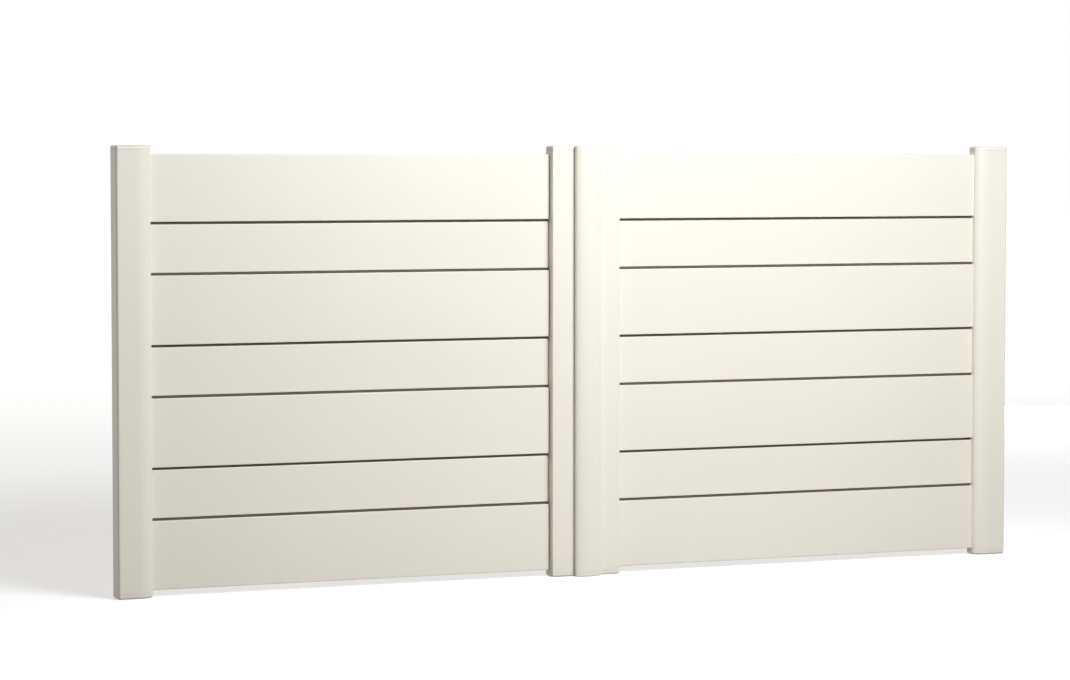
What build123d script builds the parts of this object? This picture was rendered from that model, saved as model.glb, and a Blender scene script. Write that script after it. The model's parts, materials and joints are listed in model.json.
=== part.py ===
from build123d import *
import os

# Double-leaf aluminium drive gate: box stiles, hollow boards laid level and a half-round cover strip.
# Frame: X along the gate to the right, Y to the back, the way the leaves open, and Z up.
# The origin is on the mounting face of the lower left post bracket, midway between its bolts.

# Overall sizes of the closed gate, in millimetres
gate_width = 3600
gate_height = 1600
leaf_gap = 24

# Hinge stiles: a box whose front edge sweeps back to the boards, and whose back edge is rounded
# off from the wide boards' backs
hinge_stile_flat = 81
sweep_width = 51
hinge_stile_depth = 76
hinge_corner_radius = 8
back_corner_radius = 5
board_setback = 29
wide_board_thickness = 30
back_round_radius = hinge_stile_depth - board_setback - wide_board_thickness

# Meeting stiles: a squarer box beside the joint between the leaves
meeting_stile_width = 124
meeting_stile_depth = 67
meeting_corner_radius = 3
crown_width = 40
crown_drop = 1.5

stile_wall = 2.5

# Stile caps
cap_height = 15
cap_rounding = 8
cap_shell = 3
spigot_length = 12
spigot_wall = 2
spigot_clearance = 0.3

# Boards, counted from the foot: odd ones are wide and even ones narrow
board_count = 7
narrow_setback = 8
narrow_board_height = 171.5
groove_height = 9
board_edge_radius = 3
board_wall = 1.5
chamber_count = 3
panel_foot = 25
panel_head = 31
top_board_trim = 6

# Tongue along the top edge of each board, in a slot along the next one's foot
tongue_thickness = 2.5
tongue_inset = 1.6
tongue_engagement = 6
tongue_clearance = 0.2

# Tenons, which pass through mortises in the stile walls
tenon_front_inset = 14
tenon_back_inset = 2
tenon_edge_inset = 8
tenon_length = 15
mortise_clearance = 0.3
shoulder_gap = 5

# Half-round strip over the joint, carried by the right leaf
cover_width = 102
cover_side = 15
cover_crown = 32
cover_standoff = 6
cover_wall = 2.5
cover_rounding = 4
foot_clearance = 2

# Hinges, behind the hinge stiles
hinge_from_end = 250
pin_inset = 50
pin_standoff = 25
pin_radius = 8
pin_tail = 3
pin_head_radius = 12
pin_head_height = 5
running_clearance = 0.08
knuckle_radius = 14
knuckle_height = 40
knuckle_end_gap = 0.3
eye_plate_inset = 22
eye_plate_width = 56
eye_plate_height = 110
eye_plate_thickness = 5

# Post brackets
post_standoff = 60
bracket_inset = 20
bracket_width = 40
bracket_height = 140
bracket_thickness = 8
lug_thickness = 10
lug_root = 30
bolt_spacing = 100
bolt_hole_radius = 5.5
plate_corner_radius = 3

# Dependent sizes and places, from the left edge, the front plane and the foot of the gate
hinge_stile_width = hinge_stile_flat + sweep_width
leaf_width = (gate_width - leaf_gap) / 2
meeting_edge = leaf_width - meeting_stile_width
tube_top = gate_height - cap_height
tube_length = gate_height - 2 * cap_height
board_back = board_setback + wide_board_thickness
shoulder_end = meeting_edge - shoulder_gap
narrow_count = board_count // 2
wide_count = board_count - narrow_count
panel_height = gate_height - panel_foot - panel_head
groove_total = (board_count - 1) * groove_height
wide_total = panel_height + top_board_trim - groove_total - narrow_count * narrow_board_height
wide_board_height = wide_total / wide_count
tongue_back = board_back - tongue_inset
tongue_front = tongue_back - tongue_thickness
slot_depth = tongue_engagement + tongue_clearance
pin_y = hinge_stile_depth + pin_standoff
bracket_face = hinge_stile_depth + post_standoff
lug_start = knuckle_height / 2 + knuckle_end_gap
lug_end = lug_start + lug_thickness

left_edge = -(bracket_inset + bracket_width / 2)
front = -bracket_face
foot = -hinge_from_end

mid_length = Plane((left_edge + gate_width / 2, 0, 0), z_dir=(1, 0, 0))
mid_height = Plane((0, 0, foot + gate_height / 2))


def level(height):
    """Plan view at a height above the foot: X from the left edge, Y from the front plane."""
    return Plane((left_edge, front, foot + height))


def section(along):
    """Section across the boards: X from the front plane to the back, Y from the foot up."""
    return Plane((left_edge + along, front, foot), x_dir=(0, 1, 0), z_dir=(1, 0, 0))


def write(piece, name):
    piece.part.label = name
    export_step(piece.part, f"parts/{name}.step")


def write_pair(piece, name):
    """Write a piece of the left leaf, and its mirror image in the right leaf."""
    write(piece, f"left_{name}")
    with BuildPart() as twin:
        mirror(piece.part, about=mid_length)
    write(twin, f"right_{name}")


def round_corners(corners, radius, inset):
    if radius > inset:
        fillet(corners, radius - inset)


def hinge_outline(height, inset=0):
    """Plan outline of the left hinge stile, moved inwards by inset."""
    edge = hinge_stile_width - inset
    back = hinge_stile_depth - inset
    with BuildSketch(level(height)) as outline:
        with BuildLine():
            flat = hinge_stile_flat
            Polyline((edge, board_setback), (edge, back), (inset, back), (inset, inset), (flat, inset))
            sweep_depth = board_setback - inset
            EllipticalCenterArc((flat, board_setback), sweep_width - inset, sweep_depth, -90, arc_size=90)
        make_face()
        round_corners(outline.vertices().group_by(Axis.X)[0].sort_by(Axis.Y)[0], hinge_corner_radius, inset)
        back_corners = outline.vertices().group_by(Axis.Y)[-1].sort_by(Axis.X)
        round_corners(back_corners[0], back_corner_radius, inset)
        round_corners(outline.vertices().group_by(Axis.Y)[-1].sort_by(Axis.X)[-1], back_round_radius, inset)
    return outline.sketch


def meeting_outline(height, inset=0):
    """Plan outline of the left meeting stile, moved inwards by inset."""
    near = meeting_edge + inset
    far = leaf_width - inset
    back = meeting_stile_depth - inset
    crown_start = meeting_edge + crown_width
    with BuildSketch(level(height)) as outline:
        with BuildLine():
            drop = crown_drop + inset
            Polyline((crown_start, inset), (far, inset), (far, back), (near, back), (near, drop))
            TangentArc((crown_start, inset), (near, drop), tangent=(-1, 0))
        make_face()
        outer = outline.vertices().group_by(Axis.X)[0] + outline.vertices().group_by(Axis.X)[-1]
        round_corners(outer, meeting_corner_radius, inset)
    return outline.sketch


def cover_outline(height, inset=0):
    """Plan outline of the cover strip, moved inwards by inset; the foot that carries it is left out."""
    middle = gate_width / 2
    half = cover_width / 2 - inset
    back = -cover_standoff - inset
    left, right = middle - half, middle + half
    with BuildSketch(level(height)) as outline:
        with BuildLine():
            Polyline((left, -cover_side), (left, back), (right, back), (right, -cover_side))
            crown_depth = cover_crown - cover_side - inset
            EllipticalCenterArc((middle, -cover_side), half, crown_depth, 180, arc_size=180)
        make_face()
    return outline.sketch


def cover_foot(height):
    """Plan outline of the foot between the cover strip and the right leaf's meeting stile."""
    start = leaf_width + leaf_gap + foot_clearance
    end = gate_width / 2 + cover_width / 2
    with BuildSketch(level(height)) as outline:
        with Locations(((start + end) / 2, -cover_standoff / 2)):
            Rectangle(end - start, cover_standoff)
    return outline.sketch


def tenon_section(along, board_foot, board_height, clearance=0):
    """Section of a board's tenon, or of its mortise if it has a clearance."""
    front_y = board_setback + tenon_front_inset
    back_y = board_back - tenon_back_inset
    thickness = back_y - front_y
    height = board_height - 2 * tenon_edge_inset
    with BuildSketch(section(along)) as outline:
        with Locations(((front_y + back_y) / 2, board_foot + board_height / 2)):
            Rectangle(thickness + 2 * clearance, height + 2 * clearance)
    return outline.sketch


def board_rows():
    """Foot, height and setback of each board, from the lowest up; the top one is trimmed."""
    rows = []
    board_foot = panel_foot
    for index in range(board_count):
        is_wide = index % 2 == 0
        height = wide_board_height if is_wide else narrow_board_height
        if index == board_count - 1:
            height -= top_board_trim
        setback = board_setback if is_wide else board_setback + narrow_setback
        rows.append((board_foot, height, setback))
        board_foot += height + groove_height
    return rows


rows = board_rows()


def make_stile(outline, mortise_at, name):
    """Hollow stile with a mortise through its inner wall for each board."""
    with BuildPart() as stile:
        extrude(outline(cap_height), amount=tube_length)
        extrude(outline(cap_height, stile_wall), amount=tube_length, mode=Mode.SUBTRACT)
        for board_foot, height, _ in rows:
            mortise = tenon_section(mortise_at, board_foot, height, mortise_clearance)
            extrude(mortise, amount=stile_wall, mode=Mode.SUBTRACT)
    write_pair(stile, name)


def make_caps(outline, name):
    """Rounded cap on each end of a stile, with a hollow spigot that fits inside it."""
    spigot_inset = stile_wall + spigot_clearance
    spigot_foot = tube_top - spigot_length
    with BuildPart() as top_cap:
        extrude(outline(tube_top), amount=cap_height)
        fillet(top_cap.faces().sort_by(Axis.Z)[-1].edges(), cap_rounding)
        extrude(outline(spigot_foot, spigot_inset), amount=spigot_length)
        hollow_height = spigot_length + cap_height - cap_shell
        extrude(outline(spigot_foot, spigot_inset + spigot_wall), amount=hollow_height, mode=Mode.SUBTRACT)
    with BuildPart() as bottom_cap:
        mirror(top_cap.part, about=mid_height)
    write_pair(top_cap, f"{name}_top_cap")
    write_pair(bottom_cap, f"{name}_bottom_cap")


def make_board(index):
    """Hollow board with a tongue on top, a slot below and a tenon at each end."""
    board_foot, height, setback = rows[index]
    thickness = board_back - setback
    length = shoulder_end - hinge_stile_width
    tongue_middle = (tongue_front + tongue_back) / 2
    chamber_foot = slot_depth + board_wall
    chamber_pitch = (height - chamber_foot) / chamber_count
    with BuildPart() as board:
        with BuildSketch(section(hinge_stile_width)) as profile:
            with Locations((setback + thickness / 2, board_foot + height / 2)):
                Rectangle(thickness, height)
            fillet(profile.vertices().group_by(Axis.X)[0], board_edge_radius)
            if index < board_count - 1:
                rise = groove_height + tongue_engagement
                with Locations((tongue_middle, board_foot + height + rise / 2)):
                    Rectangle(tongue_thickness, rise)
            if index > 0:
                with Locations((tongue_middle, board_foot + slot_depth / 2)):
                    Rectangle(tongue_thickness + 2 * tongue_clearance, slot_depth, mode=Mode.SUBTRACT)
        extrude(amount=length)
        tenon = tenon_section(hinge_stile_width - tenon_length, board_foot, height)
        extrude(tenon, amount=length + shoulder_gap + 2 * tenon_length)
        with BuildSketch(section(hinge_stile_width + board_wall)):
            chamber_middle = board_foot + (chamber_foot + height - board_wall) / 2
            with Locations((setback + thickness / 2, chamber_middle)):
                with GridLocations(0, chamber_pitch, 1, chamber_count):
                    Rectangle(thickness - 2 * board_wall, chamber_pitch - board_wall)
        extrude(amount=length - 2 * board_wall, mode=Mode.SUBTRACT)
    write_pair(board, f"board_{index + 1}")


def make_cover():
    """Hollow half-round strip with a solid foot, and a rounded cap on each end of it."""
    with BuildPart() as cover:
        extrude(cover_outline(cap_height), amount=tube_length)
        extrude(cover_outline(cap_height, cover_wall), amount=tube_length, mode=Mode.SUBTRACT)
        extrude(cover_foot(cap_height), amount=tube_length)
    write(cover, "cover_strip")
    with BuildPart() as top_cap:
        extrude(cover_outline(tube_top), amount=cap_height)
        fillet(top_cap.faces().sort_by(Axis.Z)[-1].edges(), cover_rounding)
        extrude(cover_foot(tube_top), amount=cap_height - cover_rounding)
    write(top_cap, "cover_strip_top_cap")
    with BuildPart() as bottom_cap:
        mirror(top_cap.part, about=mid_height)
    write(bottom_cap, "cover_strip_bottom_cap")


def make_eye(hinge_height, name):
    """Eye of a hinge: a knuckle on a plate, on the back of the hinge stile."""
    with BuildPart() as eye:
        with BuildSketch(level(hinge_height - knuckle_height / 2)):
            with Locations((pin_inset, hinge_stile_depth + pin_standoff / 2)):
                Rectangle(2 * knuckle_radius, pin_standoff)
            with Locations((pin_inset, pin_y)):
                Circle(knuckle_radius)
        extrude(amount=knuckle_height)
        with BuildSketch(level(hinge_height - eye_plate_height / 2)):
            plate_middle = hinge_stile_depth + eye_plate_thickness / 2
            with Locations((eye_plate_inset + eye_plate_width / 2, plate_middle)):
                Rectangle(eye_plate_width, eye_plate_thickness)
        extrude(amount=eye_plate_height)
        with Locations((left_edge + pin_inset, front + pin_y, foot + hinge_height)):
            Cylinder(pin_radius + running_clearance, knuckle_height, mode=Mode.SUBTRACT)
    write_pair(eye, f"{name}_hinge_eye")


def make_bracket(hinge_height, name):
    """Bracket on the post: a plate with two bolt holes and a lug above and below the eye."""
    plate_middle = bracket_inset + bracket_width / 2
    with BuildPart() as bracket:
        for lug_foot in (-lug_end, lug_start):
            with BuildSketch(level(hinge_height + lug_foot)):
                with Locations((pin_inset, pin_y)):
                    Circle(knuckle_radius)
                with Locations((plate_middle, bracket_face - bracket_thickness / 2)):
                    Rectangle(lug_root, bracket_thickness)
                make_hull()
            extrude(amount=lug_thickness)
        with BuildSketch(Plane.XZ.offset(-front - bracket_face)) as plate:
            with Locations((left_edge + plate_middle, foot + hinge_height)):
                Rectangle(bracket_width, bracket_height)
            fillet(plate.vertices(), plate_corner_radius)
            with Locations((left_edge + plate_middle, foot + hinge_height)):
                with GridLocations(0, bolt_spacing, 1, 2):
                    Circle(bolt_hole_radius, mode=Mode.SUBTRACT)
        extrude(amount=bracket_thickness)
        with Locations((left_edge + pin_inset, front + pin_y, foot + hinge_height)):
            Cylinder(pin_radius + running_clearance, 2 * lug_end, mode=Mode.SUBTRACT)
    write_pair(bracket, f"{name}_post_bracket")


def make_pin(hinge_height, name):
    """Headed pin that joins the eye and the bracket."""
    with BuildPart() as pin:
        with BuildSketch(level(hinge_height - lug_end - pin_tail)):
            with Locations((pin_inset, pin_y)):
                Circle(pin_radius)
        extrude(amount=2 * lug_end + pin_tail)
        with BuildSketch(level(hinge_height + lug_end)):
            with Locations((pin_inset, pin_y)):
                Circle(pin_head_radius)
        extrude(amount=pin_head_height)
    write_pair(pin, f"{name}_hinge_pin")


os.makedirs("parts", exist_ok=True)

make_stile(hinge_outline, hinge_stile_width - stile_wall, "hinge_stile")
make_stile(meeting_outline, meeting_edge, "meeting_stile")
make_caps(hinge_outline, "hinge_stile")
make_caps(meeting_outline, "meeting_stile")
for board_index in range(board_count):
    make_board(board_index)
make_cover()
for hinge_height, hinge_name in ((hinge_from_end, "lower"), (gate_height - hinge_from_end, "upper")):
    make_eye(hinge_height, hinge_name)
    make_bracket(hinge_height, hinge_name)
    make_pin(hinge_height, hinge_name)
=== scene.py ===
# Looks of the double-leaf aluminium gate: satin powder coat, fixings, seals and studio light

import json
import math

import bmesh
import bpy
from mathutils import Matrix, Vector


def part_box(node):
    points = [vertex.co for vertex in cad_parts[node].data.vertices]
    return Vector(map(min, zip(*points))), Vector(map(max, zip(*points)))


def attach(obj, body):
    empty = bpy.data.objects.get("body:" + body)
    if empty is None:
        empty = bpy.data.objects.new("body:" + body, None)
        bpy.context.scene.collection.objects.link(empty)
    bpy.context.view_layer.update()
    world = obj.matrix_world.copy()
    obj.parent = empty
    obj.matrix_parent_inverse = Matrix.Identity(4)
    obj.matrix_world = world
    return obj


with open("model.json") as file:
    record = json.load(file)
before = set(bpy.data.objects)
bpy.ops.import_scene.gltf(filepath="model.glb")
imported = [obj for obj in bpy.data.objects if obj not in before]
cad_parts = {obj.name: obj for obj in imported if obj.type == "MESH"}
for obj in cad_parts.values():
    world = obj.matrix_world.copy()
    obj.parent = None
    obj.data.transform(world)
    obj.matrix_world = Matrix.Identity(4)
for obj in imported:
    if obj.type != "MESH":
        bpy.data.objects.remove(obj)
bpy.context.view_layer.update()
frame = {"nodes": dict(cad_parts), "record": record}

# Places taken from the frame, in metres; CORNER is the gate's left front foot
GATE_LEFT, GATE_FRONT, GATE_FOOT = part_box("left_hinge_stile_bottom_cap")[0]
GATE_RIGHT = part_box("right_hinge_stile")[1].x
GATE_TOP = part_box("left_hinge_stile_top_cap")[1].z
GATE_MIDDLE = (GATE_LEFT + GATE_RIGHT) / 2
CORNER = Vector((GATE_LEFT, GATE_FRONT, GATE_FOOT))

# Names and number of the gate's parts
BODIES = {"left": "left_leaf", "right": "right_leaf"}
LEVELS = ("lower", "upper")
ENDS = ("top", "bottom")
STILES = ("hinge_stile", "meeting_stile")
BOARD_COUNT = 7

# Camera, its place measured from CORNER
EYE = Vector((-3.245, -11.400, 1.549))
HEADING = math.radians(22.99)
PITCH_DOWN = math.radians(3.073)
FOCAL_PIXELS = 3358.6
IMAGE_WIDTH = 1070
SENSOR_WIDTH = 36.0
CLIP_START, CLIP_END = 0.1, 300.0

# Light: a fill that is brighter from the back, three soft boxes in front, from near to far, and a
# panel behind; each lamp has its place from CORNER, its width and height, and its power
WHITE = (1.0, 1.0, 1.0)
WORLD_FILL = 0.24
BACK_FILL = 0.95
BACK_START, BACK_END = 0.3, 0.9
WORLD_COLOUR = (1.0, 0.96, 0.88)
KEY_COLOUR = (0.92, 0.955, 1.0)
FRONT_COLOUR = (1.0, 0.975, 0.925)
NEAR_LAMP = (Vector((2.8, -2.8, 2.8)), (1.2, 0.8), 56)
MIDDLE_LAMP = (Vector((2.1, -3.8, 3.0)), (1.2, 0.8), 84)
FRONT_LAMP = (Vector((2.8, -9.0, 4.5)), (2.0, 1.4), 178)
BACK_PANEL = (Vector((7.0, 7.5, 1.6)), (4.0, 3.0), 60)

# Floor: lifted towards white where it is seen, less so near the gate, and dull for bounced light
FLOOR_SIZE = 120.0
FLOOR_GAP = 0.0005
FLOOR_COLOUR = (0.90, 0.91, 0.95)
FLOOR_ROUGHNESS = 0.9
FLOOR_BOUNCE = (0.35, 0.33, 0.29)
LIFT_NEAR, LIFT_FAR = 0.40, 0.73
LIFT_START, LIFT_END = 3.0, 12.0

# Powder coat: linear colours of the off-white, and its finish on each kind of part
COAT_COLOUR = (0.80, 0.768, 0.690)
COAT_SHADE = (0.79, 0.757, 0.678)
CLOUD_SCALE = 2.2
CLOUD_DETAIL = 3.0
BOARD_ROUGHNESS = 0.34
STILE_ROUGHNESS = 0.32
CAP_ROUGHNESS = 0.36
HINGE_ROUGHNESS = 0.40
GLOSS_SCALE = 6.0
GLOSS_SPREAD = 0.02
CLEAR_WEIGHT = 0.2
HINGE_CLEAR_WEIGHT = 0.1
CLEAR_ROUGHNESS = 0.18
PEEL_SCALE = 420.0
PEEL_DETAIL = 1.0
PEEL_STRENGTH = 0.02
PEEL_DEPTH = 0.0001

# Stainless steel of the bolts, screws, rings and pins
STEEL_COLOUR = (0.62, 0.62, 0.63)
STEEL_SHADE = (0.50, 0.50, 0.51)
STEEL_GRAIN = 260.0
STEEL_GRAIN_DETAIL = 5.0
STEEL_GRAIN_CONTRAST = 0.6
STEEL_ROUGHNESS = (0.22, 0.36)
STEEL_BUMP = 0.08
STEEL_BUMP_DEPTH = 0.0003

# Rubber of the groove strips and seals: colour and darker tone of the dark one, whose darkness is
# painted shade of the deep grooves, and of the pale one
GROOVE_SHADE_RUBBER = ((0.115, 0.098, 0.070), (0.090, 0.077, 0.055))
SEAM_RUBBER = ((0.62, 0.59, 0.52), (0.57, 0.54, 0.47))
RUBBER_GRAIN = 300.0
RUBBER_GRAIN_DETAIL = 3.0
RUBBER_ROUGHNESS = (0.60, 0.75)
RUBBER_BUMP = 0.1
RUBBER_BUMP_DEPTH = 0.0002

# Dark strips in the grooves, their darkness painted shade of the deep grooves, taller in the gap
# beside the meeting stile where they paint that gap's shade too, and seals at the caps' seams
GROOVE_HEIGHT = 0.009
GROOVE_SHADE_FRONT = 0.043
GROOVE_SHADE_BACK = 0.0545
SEAL_CLEARANCE = 0.0002
SHOULDER_GAP = 0.005
TENON_INSET = 0.008
SEAM_HEIGHT = 0.0006
SEAM_DEPTH = 0.0005
INTO_CAP = 0.002
LIP_STEPS = 8

# Fixings: tapers, crowns, tips, chamfers and recess depths are shares of their part's size
BRACKET_THICKNESS = 0.008
BOLT_SPACING = 0.100
BOLT_RADIUS = 0.005
BOLT_TIP_RADIUS = 0.9
BOLT_TIP_START = 0.94
HEAD_RADIUS = 0.0095
HEAD_HEIGHT = 0.0064
HEAD_CROWN = 0.93
HEAD_CHAMFER = 0.12
HEAD_SIDES = 6
WASHER_RADIUS = 0.0100
WASHER_HEIGHT = 0.002
WASHER_CHAMFER = 0.15
PLATE_THICKNESS = 0.005
SCREW_RADIUS = 0.0050
SCREW_TAPER = 0.6
SCREW_CROWN = 0.94
SCREW_DEPTH = 0.004
SCREW_PROUD = 0.0004
RECESS_RADIUS = 0.0024
RECESS_DEPTH = 0.5
RECESS_POINT = 0.65
SCREW_ALONG = 0.0205
SCREW_UP = 0.042
RING_RADIUS = 0.0108
PIN_RADIUS = 0.008
RING_HEIGHT = 0.0012
RING_CHAMFER = 0.2
RING_UP = 0.0008
LUG_REACH = 0.0203
LUG_THICKNESS = 0.010
LUG_ROOT = 0.030
BEAD_RADIUS = 0.0022
BEAD_RIPPLES = 11
BEAD_STEPS = 8
BEAD_WAVE = 0.12
BEAD_TAPER = 6
BEAD_SEGMENTS = 12

# Mesh making
ROUND_SEGMENTS = 32
MERGE_DISTANCE = 1e-6
SHARP_ANGLE = math.radians(35)
TO_FRONT = Matrix.Rotation(math.radians(90), 3, "X")
TO_BACK = Matrix.Rotation(math.radians(-90), 3, "X")
TO_RIGHT = Matrix.Rotation(math.radians(90), 3, "Y")


def new_material(name):
    """Material with a principled shader: the material, its nodes, its links and the shader."""
    material = bpy.data.materials.new(name)
    material.use_nodes = True
    nodes, links = material.node_tree.nodes, material.node_tree.links
    return material, nodes, links, nodes["Principled BSDF"]


def object_coordinates(nodes):
    return nodes.new("ShaderNodeTexCoord").outputs["Object"]


def noise(nodes, links, place, scale, detail=2.0, roughness=0.5):
    texture = nodes.new("ShaderNodeTexNoise")
    texture.inputs["Scale"].default_value = scale
    texture.inputs["Detail"].default_value = detail
    texture.inputs["Roughness"].default_value = roughness
    links.new(place, texture.inputs["Vector"])
    return texture.outputs["Fac"]


def ramp(nodes, links, value, low, high, start=0.3, end=0.7):
    """Colour from low to high over part of a value's range."""
    node = nodes.new("ShaderNodeValToRGB")
    node.color_ramp.elements[0].position = start
    node.color_ramp.elements[1].position = end
    node.color_ramp.elements[0].color = (*low, 1.0)
    node.color_ramp.elements[1].color = (*high, 1.0)
    links.new(value, node.inputs["Fac"])
    return node.outputs["Color"]


def span(nodes, links, value, low, high, start=0.0, end=1.0):
    """Value mapped from start..end to low..high."""
    node = nodes.new("ShaderNodeMapRange")
    node.inputs["From Min"].default_value = start
    node.inputs["From Max"].default_value = end
    node.inputs["To Min"].default_value = low
    node.inputs["To Max"].default_value = high
    links.new(value, node.inputs["Value"])
    return node.outputs["Result"]


def bump(nodes, links, shader, height, strength, distance):
    node = nodes.new("ShaderNodeBump")
    node.inputs["Strength"].default_value = strength
    node.inputs["Distance"].default_value = distance
    links.new(height, node.inputs["Height"])
    links.new(node.outputs["Normal"], shader.inputs["Normal"])


def powder_coat(name, roughness, clear=CLEAR_WEIGHT):
    """Satin powder coat: faint cloudiness, fine orange peel and slightly uneven gloss."""
    material, nodes, links, shader = new_material(name)
    place = object_coordinates(nodes)
    cloud = noise(nodes, links, place, CLOUD_SCALE, CLOUD_DETAIL)
    links.new(ramp(nodes, links, cloud, COAT_SHADE, COAT_COLOUR), shader.inputs["Base Color"])
    gloss = noise(nodes, links, place, GLOSS_SCALE)
    uneven = span(nodes, links, gloss, roughness - GLOSS_SPREAD, roughness + GLOSS_SPREAD)
    links.new(uneven, shader.inputs["Roughness"])
    shader.inputs["Coat Weight"].default_value = clear
    shader.inputs["Coat Roughness"].default_value = CLEAR_ROUGHNESS
    peel = noise(nodes, links, place, PEEL_SCALE, PEEL_DETAIL)
    bump(nodes, links, shader, peel, PEEL_STRENGTH, PEEL_DEPTH)
    return material


def steel(name):
    """Bare steel with a faint mottled grain."""
    material, nodes, links, shader = new_material(name)
    shader.inputs["Metallic"].default_value = 1.0
    place = object_coordinates(nodes)
    grain = noise(nodes, links, place, STEEL_GRAIN, STEEL_GRAIN_DETAIL, STEEL_GRAIN_CONTRAST)
    links.new(ramp(nodes, links, grain, STEEL_SHADE, STEEL_COLOUR), shader.inputs["Base Color"])
    links.new(span(nodes, links, grain, *STEEL_ROUGHNESS), shader.inputs["Roughness"])
    bump(nodes, links, shader, grain, STEEL_BUMP, STEEL_BUMP_DEPTH)
    return material


def rubber(name, colour, shade):
    """Matt rubber with a fine grain."""
    material, nodes, links, shader = new_material(name)
    place = object_coordinates(nodes)
    grain = noise(nodes, links, place, RUBBER_GRAIN, RUBBER_GRAIN_DETAIL)
    links.new(ramp(nodes, links, grain, shade, colour), shader.inputs["Base Color"])
    links.new(span(nodes, links, grain, *RUBBER_ROUGHNESS), shader.inputs["Roughness"])
    bump(nodes, links, shader, grain, RUBBER_BUMP, RUBBER_BUMP_DEPTH)
    return material


coat_board = powder_coat("coat_boards", BOARD_ROUGHNESS)
coat_stile = powder_coat("coat_stiles", STILE_ROUGHNESS)
coat_cap = powder_coat("coat_caps", CAP_ROUGHNESS)
coat_hinge = powder_coat("coat_hinges", HINGE_ROUGHNESS, HINGE_CLEAR_WEIGHT)
stainless = steel("stainless")
# Dark rubber of the groove strips: painted shade of the deep grooves between the boards
groove_shade_rubber = rubber("groove_shade_rubber", *GROOVE_SHADE_RUBBER)
seam_rubber = rubber("seam_rubber", *SEAM_RUBBER)


def dress(node, material):
    """Give a CAD node its material."""
    piece = frame["nodes"][node]
    if not piece.material_slots:
        piece.data.materials.append(material)
    for material_slot in piece.material_slots:
        material_slot.material = material


def dress_frame():
    for side in BODIES:
        for board in range(1, BOARD_COUNT + 1):
            dress(f"{side}_board_{board}", coat_board)
        for stile in STILES:
            dress(f"{side}_{stile}", coat_stile)
            for end in ENDS:
                dress(f"{side}_{stile}_{end}_cap", coat_cap)
        for level in LEVELS:
            dress(f"{side}_{level}_hinge_eye", coat_hinge)
            dress(f"{side}_{level}_post_bracket", coat_hinge)
            dress(f"{side}_{level}_hinge_pin", stainless)
    dress("cover_strip", coat_stile)
    for end in ENDS:
        dress(f"cover_strip_{end}_cap", coat_cap)


def add_piece(name, shape, material, body):
    """Turn a bmesh into a smooth-shaded piece that rides on a body."""
    bmesh.ops.remove_doubles(shape, verts=shape.verts, dist=MERGE_DISTANCE)
    bmesh.ops.recalc_face_normals(shape, faces=shape.faces)
    mesh = bpy.data.meshes.new(name)
    shape.to_mesh(mesh)
    shape.free()
    mesh.materials.append(material)
    mesh.shade_smooth()
    mesh.set_sharp_from_angle(angle=SHARP_ANGLE)
    piece = bpy.data.objects.new(name, mesh)
    bpy.context.collection.objects.link(piece)
    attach(piece, body)


def join_rings(shape, rings, closed=False):
    """Faces between neighbouring rings of corners; a ring of one corner is a point."""
    pairs = list(zip(rings, rings[1:]))
    if closed:
        pairs.append((rings[-1], rings[0]))
    for lower, upper in pairs:
        count = max(len(lower), len(upper))
        for step in range(count):
            after = (step + 1) % count
            if len(lower) == 1:
                shape.faces.new((lower[0], upper[step], upper[after]))
            elif len(upper) == 1:
                shape.faces.new((lower[step], lower[after], upper[0]))
            else:
                shape.faces.new((lower[step], lower[after], upper[after], upper[step]))


def lathe(shape, profile, place, turn=None, segments=ROUND_SEGMENTS):
    """Add a turned form of (radius, height) points about Z, then turn and move it."""
    move = Matrix.Translation(place) @ (turn or Matrix.Identity(3)).to_4x4()
    rings = []
    for radius, height in profile:
        angles = [math.tau * step / segments for step in range(segments if radius else 1)]
        points = [Vector((radius * math.cos(a), radius * math.sin(a), height)) for a in angles]
        rings.append([shape.verts.new(move @ point) for point in points])
    join_rings(shape, rings)


def mount_place(name):
    """Place of a mount of the record."""
    mounts = frame["record"]["mounts"]
    return Vector(next(mount["pos_m"] for mount in mounts if mount["name"] == name))


def washer(name, seat):
    """Flat washer on a bracket's plate."""
    edge = WASHER_HEIGHT * WASHER_CHAMFER
    profile = [
        (BOLT_RADIUS, 0), (WASHER_RADIUS, 0), (WASHER_RADIUS, WASHER_HEIGHT - edge),
        (WASHER_RADIUS - edge, WASHER_HEIGHT), (BOLT_RADIUS, WASHER_HEIGHT), (BOLT_RADIUS, 0),
    ]
    shape = bmesh.new()
    lathe(shape, profile, seat, TO_FRONT)
    add_piece(name, shape, stainless, "root")


def bolt(name, seat):
    """Hexagon-headed bolt, its head to the front and its shank through the plate."""
    head = [
        (0, 0), (HEAD_RADIUS, 0), (HEAD_RADIUS, HEAD_HEIGHT * (1 - HEAD_CHAMFER)),
        (HEAD_RADIUS * HEAD_CROWN, HEAD_HEIGHT), (0, HEAD_HEIGHT),
    ]
    length = BRACKET_THICKNESS + WASHER_HEIGHT - SEAL_CLEARANCE
    shank = [
        (0, 0), (BOLT_RADIUS, 0), (BOLT_RADIUS, length * BOLT_TIP_START),
        (BOLT_RADIUS * BOLT_TIP_RADIUS, length), (0, length),
    ]
    shape = bmesh.new()
    lathe(shape, head, seat, TO_FRONT, HEAD_SIDES)
    lathe(shape, shank, seat, TO_BACK)
    add_piece(name, shape, stainless, "root")


def bracket_bolts(side, level):
    """Two bolts with washers through a bracket's plate."""
    middle = mount_place(f"{side}_{level}_bolts")
    for index, up in enumerate((-BOLT_SPACING / 2, BOLT_SPACING / 2)):
        seat = middle + Vector((0, -BRACKET_THICKNESS, up))
        washer(f"{side}_{level}_washer_{index + 1}", seat)
        bolt(f"{side}_{level}_bolt_{index + 1}", seat - Vector((0, WASHER_HEIGHT, 0)))


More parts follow.
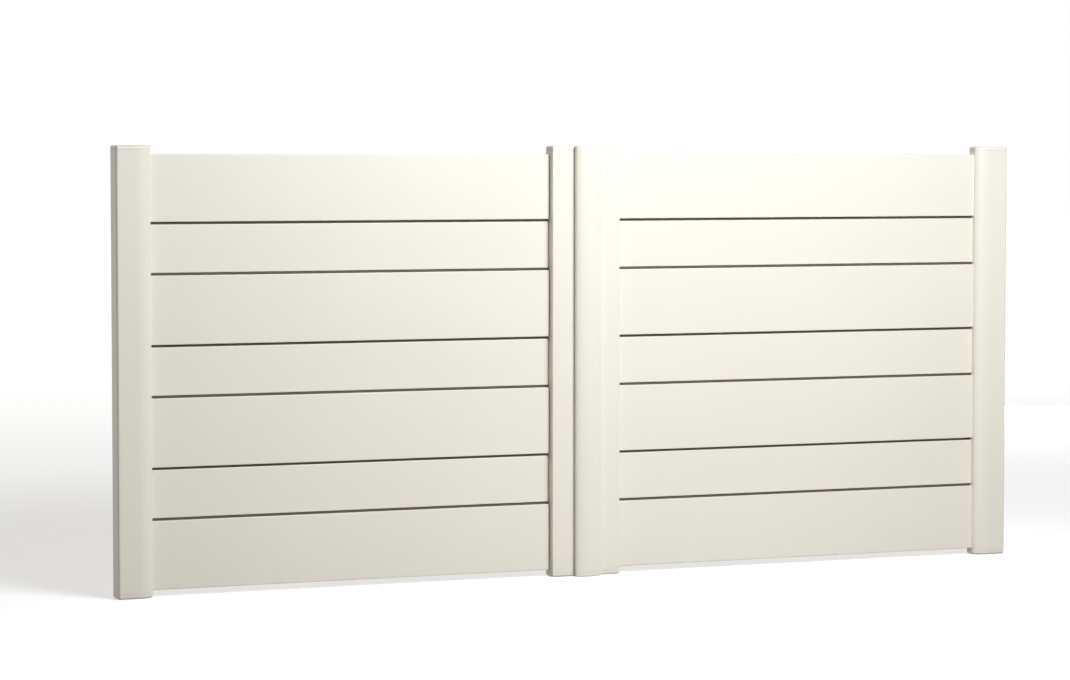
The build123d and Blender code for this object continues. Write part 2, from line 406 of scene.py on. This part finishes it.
def eye_screws(side, level):
    """Four nearly flush socket screws in an eye's plate, on the back of the stile."""
    low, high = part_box(f"{side}_{level}_hinge_eye")
    middle = (low + high) / 2
    profile = [
        (0, -SCREW_DEPTH), (SCREW_RADIUS * SCREW_TAPER, -SCREW_DEPTH), (SCREW_RADIUS, 0),
        (SCREW_RADIUS * SCREW_CROWN, SCREW_PROUD), (RECESS_RADIUS, SCREW_PROUD),
        (RECESS_RADIUS, -SCREW_DEPTH * RECESS_DEPTH), (0, -SCREW_DEPTH * RECESS_POINT),
    ]
    shape = bmesh.new()
    for along in (-SCREW_ALONG, SCREW_ALONG):
        for up in (-SCREW_UP, SCREW_UP):
            place = Vector((middle.x + along, low.y + PLATE_THICKNESS, middle.z + up))
            lathe(shape, profile, place, TO_BACK)
    add_piece(f"{side}_{level}_eye_screws", shape, stainless, BODIES[side])


def pin_ring(side, level):
    """Retaining ring near the foot of a hinge pin."""
    low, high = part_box(f"{side}_{level}_hinge_pin")
    centre = (low + high) / 2
    edge = RING_HEIGHT * RING_CHAMFER
    profile = [
        (PIN_RADIUS, 0), (RING_RADIUS - edge, 0), (RING_RADIUS, edge),
        (RING_RADIUS, RING_HEIGHT - edge), (RING_RADIUS - edge, RING_HEIGHT),
        (PIN_RADIUS, RING_HEIGHT), (PIN_RADIUS, 0),
    ]
    ring = bmesh.new()
    lathe(ring, profile, Vector((centre.x, centre.y, low.z + RING_UP)))
    add_piece(f"{side}_{level}_pin_ring", ring, stainless, "root")


def weld_beads(side, level):
    """Rippled weld beads above and below each lug, where it meets the bracket's plate."""
    plate_front = mount_place(f"{side}_{level}_face") - Vector((0, BRACKET_THICKNESS, 0))
    length = LUG_ROOT - 2 * BEAD_RADIUS
    points = BEAD_STEPS * BEAD_RIPPLES
    profile = [(0, 0)]
    for step in range(1, points):
        wave = abs(math.sin(math.pi * BEAD_RIPPLES * step / points))
        ripple = 1 - BEAD_WAVE + BEAD_WAVE * wave
        taper = math.sqrt(min(1, BEAD_TAPER * min(step, points - step) / points))
        profile.append((BEAD_RADIUS * ripple * taper, length * step / points))
    profile.append((0, length))
    beads = bmesh.new()
    for lug_side in (-1, 1):
        for reach in (LUG_REACH, LUG_REACH + LUG_THICKNESS):
            start = plate_front + Vector((-length / 2, 0, lug_side * reach))
            lathe(beads, profile, start, TO_RIGHT, BEAD_SEGMENTS)
    add_piece(f"{side}_{level}_welds", beads, coat_hinge, "root")


def shade_strip_outline(low, high):
    """Upright section of a groove's dark strip as (y, z) points, its front a rounded lip."""
    lip = (high - low) / 2
    front, back = GATE_FRONT + GROOVE_SHADE_FRONT, GATE_FRONT + GROOVE_SHADE_BACK
    outline = [(back, low), (back, high)]
    for step in range(LIP_STEPS + 1):
        angle = math.pi / 2 + math.pi * step / LIP_STEPS
        y = front + lip / 2 * (1 + math.cos(angle))
        outline.append((y, low + lip * (1 + math.sin(angle))))
    return outline


def groove_shade_strip(side, board):
    """Dark strip along the groove above a board, painted shade of the groove, taller in the gap
    beside the meeting stile to paint that gap's shade too.
    """
    inward = 1 if side == "left" else -1
    hinge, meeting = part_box(f"{side}_hinge_stile"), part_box(f"{side}_meeting_stile")
    start = (hinge[1].x if side == "left" else hinge[0].x) + inward * SEAL_CLEARANCE
    end = (meeting[0].x if side == "left" else meeting[1].x) - inward * SEAL_CLEARANCE
    step = end - inward * (SHOULDER_GAP - 2 * SEAL_CLEARANCE)
    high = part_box(f"{side}_board_{board + 1}")[0].z - SEAL_CLEARANCE
    low = high - GROOVE_HEIGHT + 2 * SEAL_CLEARANCE
    slim = shade_strip_outline(low, high)
    tall = shade_strip_outline(low - TENON_INSET, high + TENON_INSET)
    seal = bmesh.new()
    rings = []
    for x, outline in ((start, slim), (step, slim), (step, tall), (end, tall)):
        rings.append([seal.verts.new((x, y, z)) for y, z in outline])
    join_rings(seal, rings)
    seal.faces.new(rings[0])
    seal.faces.new(rings[-1])
    add_piece(f"{side}_groove_shade_strip_{board}", seal, groove_shade_rubber, BODIES[side])


def edge_loops(edges):
    """Closed loops of corners along a set of mesh edges, as lists of plan points."""
    loops = []
    while edges:
        loop = list(edges.pop().verts)
        while loop[-1] != loop[0]:
            following = next((edge for edge in loop[-1].link_edges if edge in edges), None)
            if following is None:
                break
            edges.discard(following)
            loop.append(following.other_vert(loop[-1]))
        loops.append([Vector((corner.co.x, corner.co.y)) for corner in loop[:-1]])
    return loops


def outer_loop(node, height):
    """Plan outline of a CAD node's outer wall at a height."""
    piece = frame["nodes"][node]
    shape = bmesh.new()
    shape.from_mesh(piece.data)
    bmesh.ops.transform(shape, matrix=piece.matrix_world, verts=shape.verts)
    bmesh.ops.remove_doubles(shape, verts=shape.verts, dist=MERGE_DISTANCE)
    geometry = shape.verts[:] + shape.edges[:] + shape.faces[:]
    level = (0, 0, height)
    cut = bmesh.ops.bisect_plane(shape, geom=geometry, plane_co=level, plane_no=(0, 0, 1))
    edges = {item for item in cut["geom_cut"] if isinstance(item, bmesh.types.BMEdge)}
    loops = edge_loops(edges)
    shape.free()
    return max(loops, key=lambda points: max(p.x for p in points) - min(p.x for p in points))


def cap_seam(cap, body, joint, inside):
    """Thin seal at the joint between a cap and its tube; inside is a height within the cap."""
    loop = outer_loop(cap, inside)
    count = len(loop)
    turning = sum(loop[index - 1].cross(loop[index]) for index in range(count))
    sign = 1 if turning > 0 else -1
    seam = bmesh.new()
    rings = []
    for index, here in enumerate(loop):
        along = (loop[(index + 1) % count] - loop[index - 1]).normalized()
        outward = Vector((along.y, -along.x)) * sign
        ring = []
        for reach, up in ((-SEAM_DEPTH, -1), (0, -1), (0, 1), (-SEAM_DEPTH, 1)):
            spot = here + outward * reach
            ring.append(seam.verts.new((spot.x, spot.y, joint + up * SEAM_HEIGHT / 2)))
        rings.append(ring)
    join_rings(seam, rings, closed=True)
    add_piece(f"{cap}_seam", seam, seam_rubber, body)


def cap_seams():
    """Seams of all the stiles' caps and of the cover strip's."""
    tubes = {f"{side}_{stile}": body for side, body in BODIES.items() for stile in STILES}
    tubes["cover_strip"] = "right_leaf"
    for tube, body in tubes.items():
        low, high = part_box(tube)
        cap_seam(f"{tube}_top_cap", body, high.z, high.z + INTO_CAP)
        cap_seam(f"{tube}_bottom_cap", body, low.z, low.z - INTO_CAP)


def make_camera():
    """Camera at the photograph's viewing angle."""
    data = bpy.data.cameras.new("camera")
    data.sensor_width = SENSOR_WIDTH
    data.lens = FOCAL_PIXELS / IMAGE_WIDTH * SENSOR_WIDTH
    data.clip_start = CLIP_START
    data.clip_end = CLIP_END
    camera = bpy.data.objects.new("camera", data)
    camera.location = CORNER + EYE
    camera.rotation_euler = (math.pi / 2 - PITCH_DOWN, 0.0, -HEADING)
    bpy.context.collection.objects.link(camera)
    bpy.context.scene.camera = camera


def larger(nodes, links, first, second):
    node = nodes.new("ShaderNodeMath")
    node.operation = "MAXIMUM"
    links.new(first, node.inputs[0])
    links.new(second, node.inputs[1])
    return node.outputs[0]


def background_rays(nodes, links):
    """1 for camera, glossy and transmission rays, which see the white background, else 0."""
    rays = nodes.new("ShaderNodeLightPath").outputs
    reflected = larger(nodes, links, rays["Is Glossy Ray"], rays["Is Transmission Ray"])
    return larger(nodes, links, rays["Is Camera Ray"], reflected)


def floor_material():
    """Diffuse floor, lifted to white where it is seen and dull for bounced light."""
    material, nodes, links, shader = new_material("white_floor")
    shader.inputs["Base Color"].default_value = (*FLOOR_COLOUR, 1.0)
    shader.inputs["Roughness"].default_value = FLOOR_ROUGHNESS
    shader.inputs["Specular IOR Level"].default_value = 0.0
    distance = nodes.new("ShaderNodeVectorMath")
    distance.operation = "LENGTH"
    links.new(object_coordinates(nodes), distance.inputs[0])
    level = span(nodes, links, distance.outputs["Value"], LIFT_NEAR, LIFT_FAR, LIFT_START, LIFT_END)
    lift = nodes.new("ShaderNodeEmission")
    links.new(level, lift.inputs["Strength"])
    seen = nodes.new("ShaderNodeAddShader")
    links.new(shader.outputs[0], seen.inputs[0])
    links.new(lift.outputs[0], seen.inputs[1])
    bounce = nodes.new("ShaderNodeBsdfDiffuse")
    bounce.inputs["Color"].default_value = (*FLOOR_BOUNCE, 1.0)
    choice = nodes.new("ShaderNodeMixShader")
    links.new(background_rays(nodes, links), choice.inputs["Fac"])
    links.new(bounce.outputs[0], choice.inputs[1])
    links.new(seen.outputs[0], choice.inputs[2])
    links.new(choice.outputs[0], nodes["Material Output"].inputs["Surface"])
    return material


def make_floor():
    """White floor that keeps the gate's shadow."""
    half = FLOOR_SIZE / 2
    mesh = bpy.data.meshes.new("floor")
    corners = [(-half, -half, 0), (half, -half, 0), (half, half, 0), (-half, half, 0)]
    mesh.from_pydata(corners, [], [(0, 1, 2, 3)])
    mesh.materials.append(floor_material())
    floor = bpy.data.objects.new("floor", mesh)
    floor.location = (GATE_MIDDLE, GATE_FRONT, GATE_FOOT - FLOOR_GAP)
    bpy.context.collection.objects.link(floor)


def panel(name, place, size, power, colour):
    """Rectangular lamp at a place measured from CORNER, aimed at the middle of the gate's top."""
    data = bpy.data.lights.new(name, "AREA")
    data.shape = "RECTANGLE"
    data.size, data.size_y = size
    data.energy = power
    data.color = colour
    light = bpy.data.objects.new(name, data)
    light.location = CORNER + place
    aim = Vector((GATE_MIDDLE, GATE_FRONT, GATE_TOP))
    light.rotation_euler = (aim - light.location).to_track_quat("-Z", "Y").to_euler()
    bpy.context.collection.objects.link(light)


def make_world():
    """Soft fill, brighter from the back, and white where the camera and reflections see it."""
    world = bpy.data.worlds.new("studio")
    bpy.context.scene.world = world
    world.use_nodes = True
    nodes, links = world.node_tree.nodes, world.node_tree.links
    seen = background_rays(nodes, links)
    colour = ramp(nodes, links, seen, WORLD_COLOUR, WHITE)
    direction = nodes.new("ShaderNodeSeparateXYZ")
    links.new(nodes.new("ShaderNodeTexCoord").outputs["Generated"], direction.inputs[0])
    towards = direction.outputs["Y"]
    fill = span(nodes, links, towards, WORLD_FILL, BACK_FILL, BACK_START, BACK_END)
    background = nodes["Background"]
    links.new(colour, background.inputs["Color"])
    links.new(larger(nodes, links, fill, seen), background.inputs["Strength"])


dress_frame()
for side in BODIES:
    for level in LEVELS:
        bracket_bolts(side, level)
        eye_screws(side, level)
        pin_ring(side, level)
        weld_beads(side, level)
    # Dark strips in the grooves paint the grooves' shade
    for board in range(1, BOARD_COUNT):
        groove_shade_strip(side, board)
cap_seams()
make_camera()
make_floor()
panel("near_lamp", *NEAR_LAMP, KEY_COLOUR)
panel("middle_lamp", *MIDDLE_LAMP, KEY_COLOUR)
panel("front_lamp", *FRONT_LAMP, FRONT_COLOUR)
panel("back_panel", *BACK_PANEL, WHITE)
make_world()
bpy.context.scene.view_settings.view_transform = "Standard"
